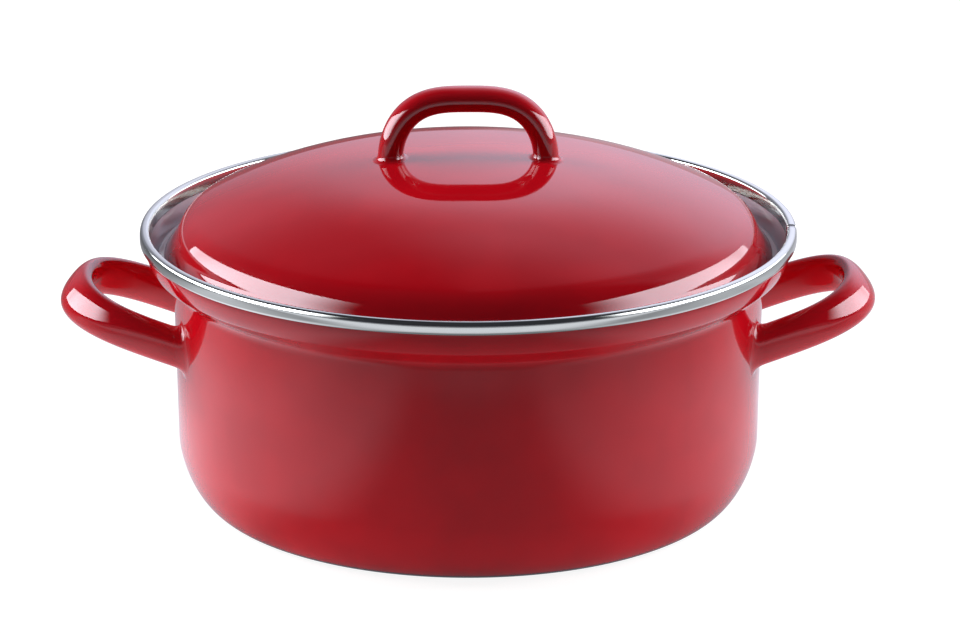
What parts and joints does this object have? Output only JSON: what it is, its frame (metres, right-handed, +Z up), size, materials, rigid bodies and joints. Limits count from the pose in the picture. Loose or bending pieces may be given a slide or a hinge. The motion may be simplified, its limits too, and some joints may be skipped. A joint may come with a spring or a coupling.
{
  "type": "lidded casserole pot",
  "caption": "Round enamelled steel casserole with a stepped collar, a rolled steel rim band, side loop handles and a domed lid with an arched handle.",
  "frame": {"origin": "centre of the flat base, on the plane that the pot stands on", "axes": "+Z up through the middle of the lid; +X through the right side handle, with the lid handle's arch along X; +Y to the rear"},
  "size_m": [0.324, 0.2596, 0.1655],
  "materials": {
    "pot_enamel": "glossy red vitreous enamel over drawn steel, pale blue-grey inside",
    "lid_enamel": "glossy red vitreous enamel over pressed steel, pale blue-grey inside and at the edge",
    "handle_enamel": "glossy red vitreous enamel over steel bar",
    "rim_steel": "polished stainless steel strip"
  },
  "bodies": {
    "pot": {"pot_shell": "pot_enamel", "pot_rim_band": "rim_steel", "side_handle_right": "handle_enamel", "side_handle_left": "handle_enamel", "weld_right_front": "handle_enamel", "weld_right_rear": "handle_enamel", "weld_left_front": "handle_enamel", "weld_left_rear": "handle_enamel"},
    "lid": {"lid_shell": "lid_enamel", "lid_handle": "handle_enamel", "weld_lid_left": "handle_enamel", "weld_lid_right": "handle_enamel"}
  },
  "joints": [
    {"name": "lid_lift", "type": "slide", "parent": "pot", "child": "lid", "axis": [0, 0, 1], "range_m": [0, 0.12]}
  ]
}
